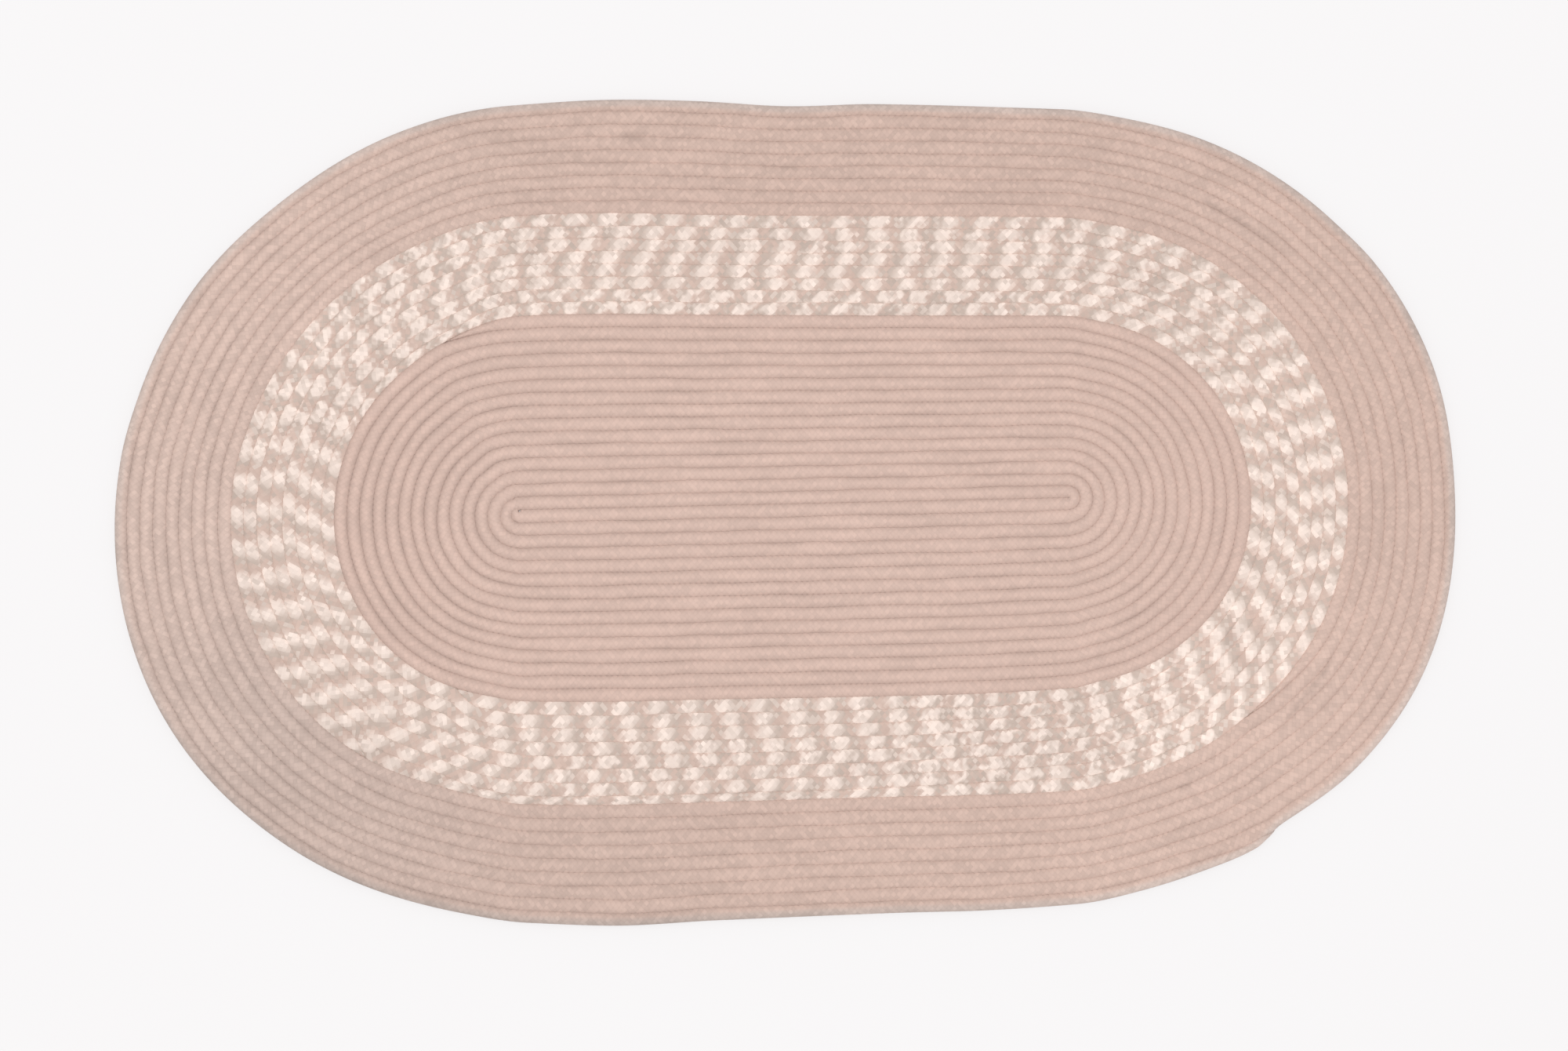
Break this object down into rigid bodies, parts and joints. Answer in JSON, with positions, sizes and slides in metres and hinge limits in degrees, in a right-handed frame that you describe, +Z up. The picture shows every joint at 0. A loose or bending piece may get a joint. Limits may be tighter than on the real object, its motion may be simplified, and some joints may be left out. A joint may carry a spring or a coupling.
{
  "type": "oval braided rug",
  "caption": "Flat oval rug of round braid sewn edge to edge in spirals: a plain centre, a flecked band and a plain border with its outer end tapered off.",
  "frame": {"origin": "on the underside, below the middle of the outline's box", "axes": "+X along the rug's length, parallel to the straight rows, +Y across it, +Z up out of the face that shows"},
  "size_m": [1.1119, 0.6855, 0.009],
  "materials": {
    "field_yarn": "matt dusty tan braid",
    "band_yarn": "matt braid flecked in cream and tan",
    "border_yarn": "matt dusty tan braid"
  },
  "bodies": {
    "root": {"field_braid": "field_yarn", "band_braid": "band_yarn", "border_braid": "border_yarn"}
  },
  "joints": []
}
